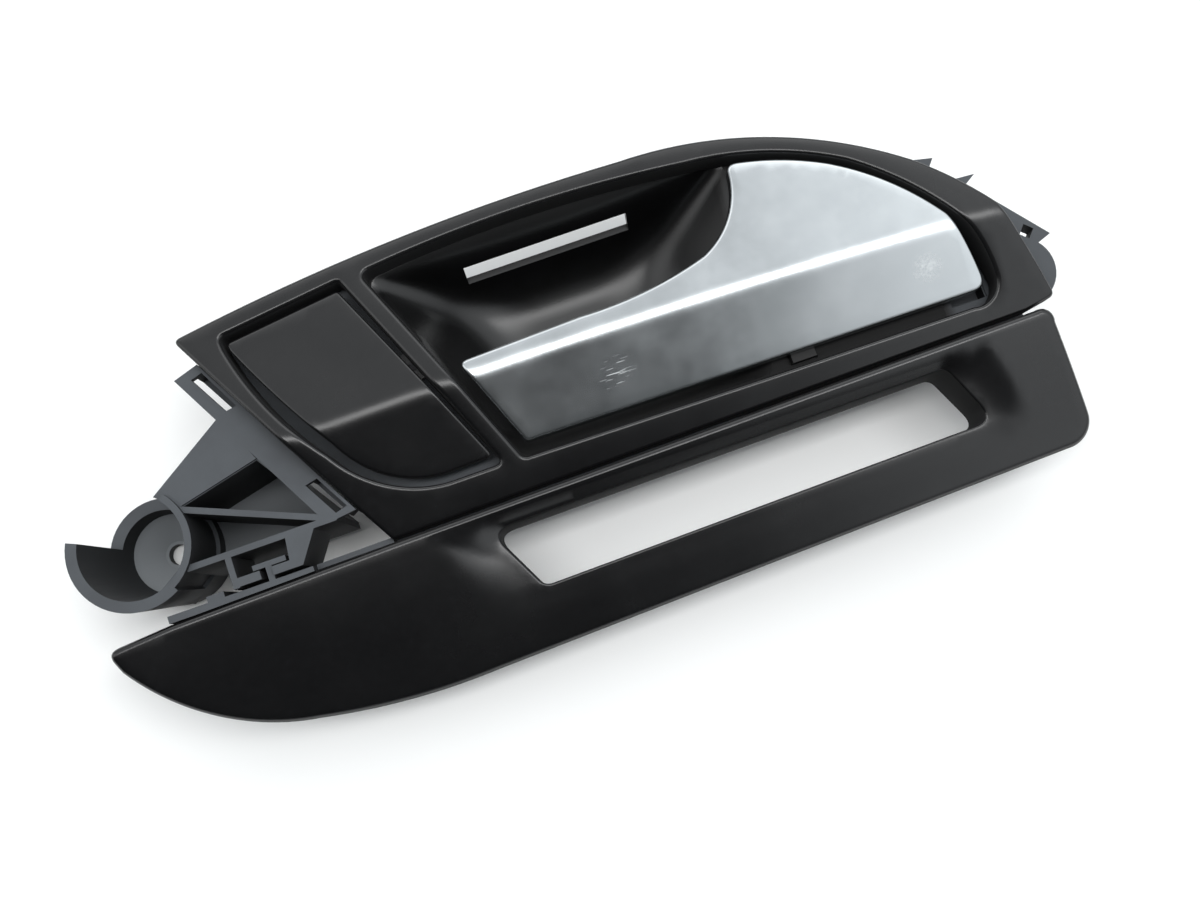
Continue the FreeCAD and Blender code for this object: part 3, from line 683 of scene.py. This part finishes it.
def lever_outline():
    return softened(outline(
        (-31.2, 38.5),
        (8.0, 39.8),
        ((31.0, 41.1), (48.5, 45.2)),
        ((60.2, 55.2), (65.0, 71.0)),
        ((81.0, 67.0), (94.7, 60.7)),
        ((109.6, 48.9), (121.9, 33.2)),
        ((125.2, 21.0), (127.0, 9.0)),
        (-19.6, 10.4),
    ), 1.6, special=[((65.0, 71.0), 3.2), ((127.0, 9.0), 3.6), ((-31.2, 38.5), 2.2)])


def trim_outline():
    return softened(outline(
        (-156.3, -7.9),
        (-135.8, -6.3),
        (-66.0, -4.9),
        (139.0, -2.4),
        ((143.0, -3.6), (144.0, -7.5)),
        (146.2, -36.5),
        ((144.9, -41.4), (138.5, -44.8)),
        (51.0, -47.3),
        (-49.9, -50.4),
        ((-78.0, -50.1), (-104.7, -46.4)),
        ((-135.0, -34.3), (-153.5, -15.0)),
    ), 2.4, special=[((-156.3, -7.9), 3.2)])


def window_outline():
    return softened([(-38.6, -11.2), (108.2, -9.7), (116.8, -29.1), (-28.4, -31.5)], 4.0, 8)


def recess_outline():
    return softened([
        (-58.0, -6.6),
        (-47.4, -31.9),
        (-38.1, -40.5),
        (-35.9, -41.2),
        (119.6, -38.7),
        (128.3, -34.3),
        (129.0, -29.2),
        (126.0, -17.4),
        (121.5, -4.9),
    ], 3.0)


RECESS = recess_outline()
WINDOW = window_outline()


def trim_height(x, y):
    """Crowned face, sinking softly from the recess's edge to the window."""
    height = crown_height(y)
    if not inside(RECESS, x, y):
        return height
    edge = reaches(RECESS, x, y)
    mouth = 0 if inside(WINDOW, x, y) else reaches(WINDOW, x, y)
    share = edge / (edge + mouth + 1e-6)
    depth = RECESS_DEPTH - RECESS_RISE * min(1, max(0, (RECESS_TOP - y) / RECESS_FALL))
    return height - depth * share * share * (3 - 2 * share)


def trim_foot(x, y):
    """The window's wall runs deeper than the trim's outer skirt."""
    return WINDOW_FOOT if reaches(WINDOW, x, y) < 1 else TRIM_FOOT


def finish_piece(piece, body, node_name, material):
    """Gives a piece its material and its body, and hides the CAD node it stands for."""
    piece.data.materials.clear()
    piece.data.materials.append(material)
    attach(piece, body)
    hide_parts(node_name)


bezel = sheet("bezel_shell", bezel_outline(), [blank_opening(), lever_opening()], face_height,
              lambda x, y: SKIRT_FOOT, thickness=2.0, edge_round=1.3, opening_round=1.5, spacing=1.6,
              grid=3.0, dense_band=CREASE_BAND)
finish_piece(bezel, HOUSING, "bezel", satin_black)

blank = sheet("blank_panel", blank_outline(), [], lambda x, y: face_height(x, y) - BLANK_SINK,
              lambda x, y: BLANK_FOOT, thickness=1.8, edge_round=0.9, opening_round=0.9, spacing=1.6,
              grid=3.0, dense_band=CREASE_BAND)
finish_piece(blank, HOUSING, "switch_blank", satin_black)

lever = sheet("lever_skin", lever_outline(), [], face_height, lambda x, y: face_height(x, y) - LEVER_DEPTH,
              thickness=1.2, edge_round=1.1, opening_round=1.1, spacing=1.2, grid=2.5, dense_band=CREASE_BAND)
finish_piece(lever, LEVER, "lever_cover", plated)

trim = sheet("grip_trim_shell", trim_outline(), [WINDOW], trim_height, trim_foot, thickness=1.8,
             edge_round=2.0, opening_round=0.8, spacing=1.6, grid=1.8, folds=[RECESS])
finish_piece(trim, HOUSING, "grip_trim", satin_black)


# ---- mouldings carried over with softened edges ----
def softened_copy(name, source, width):
    """A merged copy of a structural node, its flat faces joined and its edges broken."""
    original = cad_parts[source]
    piece = original.copy()
    piece.data = original.data.copy()
    piece.name = name
    piece.parent = None
    piece.matrix_world = original.matrix_world.copy()
    bpy.context.scene.collection.objects.link(piece)
    activate(piece)
    bpy.ops.object.mode_set(mode="EDIT")
    bpy.ops.mesh.select_all(action="SELECT")
    bpy.ops.mesh.remove_doubles(threshold=MERGE_REACH * MM)
    bpy.ops.mesh.dissolve_limited(angle_limit=SAME_PLANE)
    bpy.ops.object.mode_set(mode="OBJECT")
    smooth(piece, 28)
    apply_modifier(piece, "BEVEL", harden_normals=True, width=width * MM, segments=2, limit_method="ANGLE",
                   angle_limit=BEVEL_FROM, use_clamp_overlap=True, miter_outer="MITER_ARC")
    apply_modifier(piece, "WEIGHTED_NORMAL", keep_sharp=True, weight=50)
    return piece


carrier = softened_copy("carrier_moulding", "carrier", 0.3)
finish_piece(carrier, HOUSING, "carrier", filled_grey)
trim_frame = softened_copy("trim_backing_frame", "grip_trim_frame", 0.25)
finish_piece(trim_frame, HOUSING, "grip_trim_frame", filled_grey)
core = softened_copy("lever_core", "lever_arm", 0.25)
finish_piece(core, LEVER, "lever_arm", grained_black)


# ---- finger bowl ----
BOWL_MOUTH = [(-50.3, 74.9), (66.0, 75.2), (58.0, 6.5), (-21.6, 7.2)]
BOWL_BULGE = 3.6           # rise of the mouth's upper side over a straight one
BULGE_END = 0.24           # share of the way down where the upper side is straight again
BOWL_BASE = [(-21.0, 62.6), (36.4, 62.8), (33.0, 15.0), (-17.0, 15.0)]
BOWL_TOP = 38.0
BOWL_FLOOR = 12.0
BOWL_WALL = 1.9
WALL_END = 0.62            # share of the way down where the wall begins to sweep into the floor
FLOOR_SHARE = 0.52         # the flat of the floor, as a share of the base
MOUTH_ROUND = 4.0
SWEEP_ROUND = 9.6
BASE_ROUND = 13.0
WALL_RINGS = 12
CORNER_STEPS = 8
SIDE_STEPS = 18
LIP = ((0.7, 0.0), (0.2, 0.15))    # how far the lip's two rings lie inwards and down
FLOOR_RINGS = (0.66, 0.33)
FLANGE_GAP = 0.75          # how far inside the mouth the flange is cut away
PLUG_FOOT = -5.0
PLUG_HEIGHT = 50.0
SLOT = ((-20.7, 60.0, 23.4), (33.6, 80.0, 30.4))


def bowl_ring(share, radius):
    """Corners part of the way from the mouth to the base, rounded, always with as many points."""
    corners = [tuple(Vector(a).lerp(Vector(b), share)) for a, b in zip(BOWL_MOUTH, BOWL_BASE)]
    soft = softened(corners, radius, CORNER_STEPS)
    per_corner = CORNER_STEPS + 1
    bulge = BOWL_BULGE * max(0, 1 - share / BULGE_END) ** 2
    points = []
    for k in range(4):
        corner = soft[k * per_corner:(k + 1) * per_corner]
        following = soft[(k + 1) * per_corner % len(soft)]
        points += corner
        for j in range(1, SIDE_STEPS):
            x, y = Vector(corner[-1]).lerp(Vector(following), j / SIDE_STEPS)
            rise = bulge * 4 * j * (SIDE_STEPS - j) / SIDE_STEPS ** 2 if k == 0 else 0
            points.append((x, y + rise))
    return points


def shrunk(points, share):
    """The outline drawn in towards its middle."""
    centre = Vector((sum(p[0] for p in points), sum(p[1] for p in points))) / len(points)
    return [tuple(centre.lerp(Vector(p), share)) for p in points]


def bowl_rings():
    """The bowl's rings and their heights, from its mouth down to the middle of its floor."""
    mouth = bowl_ring(0, MOUTH_ROUND)
    rings = [(inset(mouth, inward), BOWL_TOP - drop) for inward, drop in LIP]
    depth = BOWL_TOP - BOWL_FLOOR
    for k in range(1, WALL_RINGS + 1):
        share = WALL_END * k / WALL_RINGS
        radius = MOUTH_ROUND + (BASE_ROUND - MOUTH_ROUND) * share
        rings.append((bowl_ring(share, radius), BOWL_TOP - depth * share))
    edge, base = bowl_ring(WALL_END, SWEEP_ROUND), bowl_ring(1.0, BASE_ROUND)
    flat = shrunk(base, FLOOR_SHARE)
    for k in range(1, WALL_RINGS + 1):
        t = k / WALL_RINGS
        ring = [tuple(swept(Vector(a), Vector(b), Vector(c), t)) for a, b, c in zip(edge, base, flat)]
        rings.append((ring, swept(BOWL_TOP - depth * WALL_END, BOWL_FLOOR, BOWL_FLOOR, t)))
    return rings + [(shrunk(flat, share), BOWL_FLOOR) for share in FLOOR_RINGS]


def cut_slot(piece):
    """Cuts the light slot through the upper wall."""
    low, high = (to_frame(*corner) for corner in SLOT)
    deselect()
    bpy.ops.mesh.primitive_cube_add(size=1, location=(low + high) / 2)
    cutter = bpy.context.object
    cutter.scale = high - low
    apply_modifier(piece, "BOOLEAN", operation="DIFFERENCE", object=cutter, solver="EXACT")
    bpy.data.objects.remove(cutter)


def cut_mouth(flange, edge):
    """Cuts the scoop's mouth out of the flange, with a plug of the mouth's outline."""
    deselect()
    bpy.ops.mesh.primitive_circle_add(vertices=len(edge), fill_type="NGON")
    plug = bpy.context.object
    for vert, (x, y) in zip(plug.data.vertices, edge[::-1]):
        vert.co = plug.matrix_world.inverted() @ to_frame(x, y, PLUG_FOOT)
    bpy.ops.object.mode_set(mode="EDIT")
    bpy.ops.mesh.extrude_region_move(TRANSFORM_OT_translate={"value": (0, 0, PLUG_HEIGHT * MM)})
    bpy.ops.mesh.select_all(action="SELECT")
    bpy.ops.mesh.normals_make_consistent(inside=False)
    bpy.ops.object.mode_set(mode="OBJECT")
    apply_modifier(flange, "BOOLEAN", operation="DIFFERENCE", object=plug, solver="EXACT")
    bpy.data.objects.remove(plug)


def finger_bowl():
    """Scooped bowl: sloping walls that sweep into its floor, a slot in the upper one, and its flange."""
    bm = bmesh.new()
    loops = [[bm.verts.new(to_frame(x, y, z)) for x, y in points] for points, z in bowl_rings()]
    for upper, lower in zip(loops, loops[1:]):
        for k in range(len(upper)):
            j = (k + 1) % len(upper)
            bm.faces.new((upper[k], upper[j], lower[j], lower[k]))
    bm.faces.new(loops[-1])
    face_upwards(bm)
    piece = add_mesh("finger_bowl_moulding", bm)
    apply_modifier(piece, "SOLIDIFY", thickness=BOWL_WALL * MM, offset=-1, use_even_offset=True)
    cut_slot(piece)
    flange = softened_copy("bowl_flange", "finger_bowl", 0.2)
    cut_mouth(flange, inset(bowl_ring(0, MOUTH_ROUND), FLANGE_GAP))
    activate(piece)
    flange.select_set(True)
    bpy.ops.object.join()
    smooth(piece, 40)
    return piece


bowl = finger_bowl()
finish_piece(bowl, HOUSING, "finger_bowl", grained_black)

NODE_FINISH = {
    "blank_clips": spring_steel, "lever_pin": bright_steel, "pin_clip": spring_steel,
    "lever_spring": spring_steel,
    "lower_bush": acetal, "upper_bush": acetal, "rest_buffers": rubber, "open_buffer": rubber,
    "bezel_screws": zinc_black, "bowl_screws": zinc_black, "trim_screws": zinc_black,
    "lever_cover_screws": bright_steel,
}
for node_name, finish in NODE_FINISH.items():
    cad_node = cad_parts[node_name]
    for slot in cad_node.material_slots:
        slot.material = finish


# ---- table, light and camera ----
TURN = math.radians(19.3)      # how far the unit's long side runs uphill in the view
TIP = math.radians(7.8)        # how far the view leans off the vertical
EYE_HEIGHT = 400.0
FACE_LEVEL = 50.0
SENSOR_WIDTH = 36.0
LENS = 36.21


def table():
    """A pale board for the unit to lie on."""
    deselect()
    bpy.ops.mesh.primitive_plane_add(size=8)
    floor = bpy.context.object
    floor.name = "table_top"
    floor.data.materials.append(white_laminate())


def area_light(name, place, target, size, power):
    """A softbox of a size in metres, turned to a target."""
    light = bpy.data.lights.new(name, "AREA")
    light.shape = "RECTANGLE"
    light.size, light.size_y = size
    light.energy = power
    lamp = bpy.data.objects.new(name, light)
    lamp.location = place
    lamp.rotation_euler = (Vector(target) - Vector(place)).to_track_quat("-Z", "Y").to_euler()
    bpy.context.scene.collection.objects.link(lamp)


def sky():
    """Studio surround: light beyond the unit and to its right, dim overhead, darkest on the near side."""
    world = bpy.data.worlds.new("studio")
    bpy.context.scene.world = world
    world.use_nodes = True
    tree = world.node_tree
    tree.nodes.clear()
    way = node(tree, "ShaderNodeSeparateXYZ", None,
               {"Vector": tree.nodes.new("ShaderNodeTexCoord").outputs["Generated"]})
    soft = {"interpolation_type": "SMOOTHSTEP"}
    beyond = node(tree, "ShaderNodeMapRange",
                  {**soft, "From Min": -0.16, "From Max": 0.3, "To Min": 0.05, "To Max": 0.95},
                  {"Value": way.outputs["Y"]})
    right = node(tree, "ShaderNodeMapRange",
                 {**soft, "From Min": 0.155, "From Max": 0.3, "To Min": 0.0, "To Max": 1.5},
                 {"Value": way.outputs["X"]})
    bright = node(tree, "ShaderNodeMath", {"operation": "MAXIMUM"},
                  {0: beyond.outputs["Result"], 1: right.outputs["Result"]})
    lift = node(tree, "ShaderNodeMapRange",
                {**soft, "From Min": 0.05, "From Max": 0.6, "To Min": 0.3, "To Max": 1.0},
                {"Value": way.outputs["Z"]})
    level = node(tree, "ShaderNodeMath", {"operation": "MULTIPLY"},
                 {0: bright.outputs["Value"], 1: lift.outputs["Result"]})
    back = node(tree, "ShaderNodeBackground", {"Color": (0.94, 0.975, 1.0, 1.0)},
                {"Strength": level.outputs["Value"]})
    node(tree, "ShaderNodeOutputWorld", None, {"Surface": back.outputs["Background"]})


def camera():
    """Hand-held view from above the lower edge, turned and tipped a little."""
    data = bpy.data.cameras.new("camera")
    data.sensor_width = SENSOR_WIDTH
    data.lens = LENS
    data.clip_start, data.clip_end = 0.01, 20
    eye = bpy.data.objects.new("camera", data)
    stand_back = (EYE_HEIGHT - FACE_LEVEL) * math.tan(TIP)
    place = to_frame(-stand_back * math.sin(TURN), -stand_back * math.cos(TURN), EYE_HEIGHT)
    right = Vector((math.cos(TURN), -math.sin(TURN), 0))
    up = Vector((math.cos(TIP) * math.sin(TURN), math.cos(TIP) * math.cos(TURN), math.sin(TIP)))
    axes = Matrix((right, up, right.cross(up))).transposed().to_4x4()
    eye.matrix_world = Matrix.Translation(place) @ axes
    bpy.context.scene.collection.objects.link(eye)
    bpy.context.scene.camera = eye


bpy.context.scene.view_settings.view_transform = "Standard"
table()
sky()
area_light("overhead_softbox", (0.1, 0.04, 1.3), (0.1, 0.04, 0), (1.6, 0.26), 10)
area_light("far_softbox", (0.1, 1.0, 0.75), (0, 0.1, 0), (1.6, 0.6), 4)
area_light("left_softbox", (-1.0, 0.2, 0.6), (0, 0, 0), (0.6, 0.9), 2)
camera()
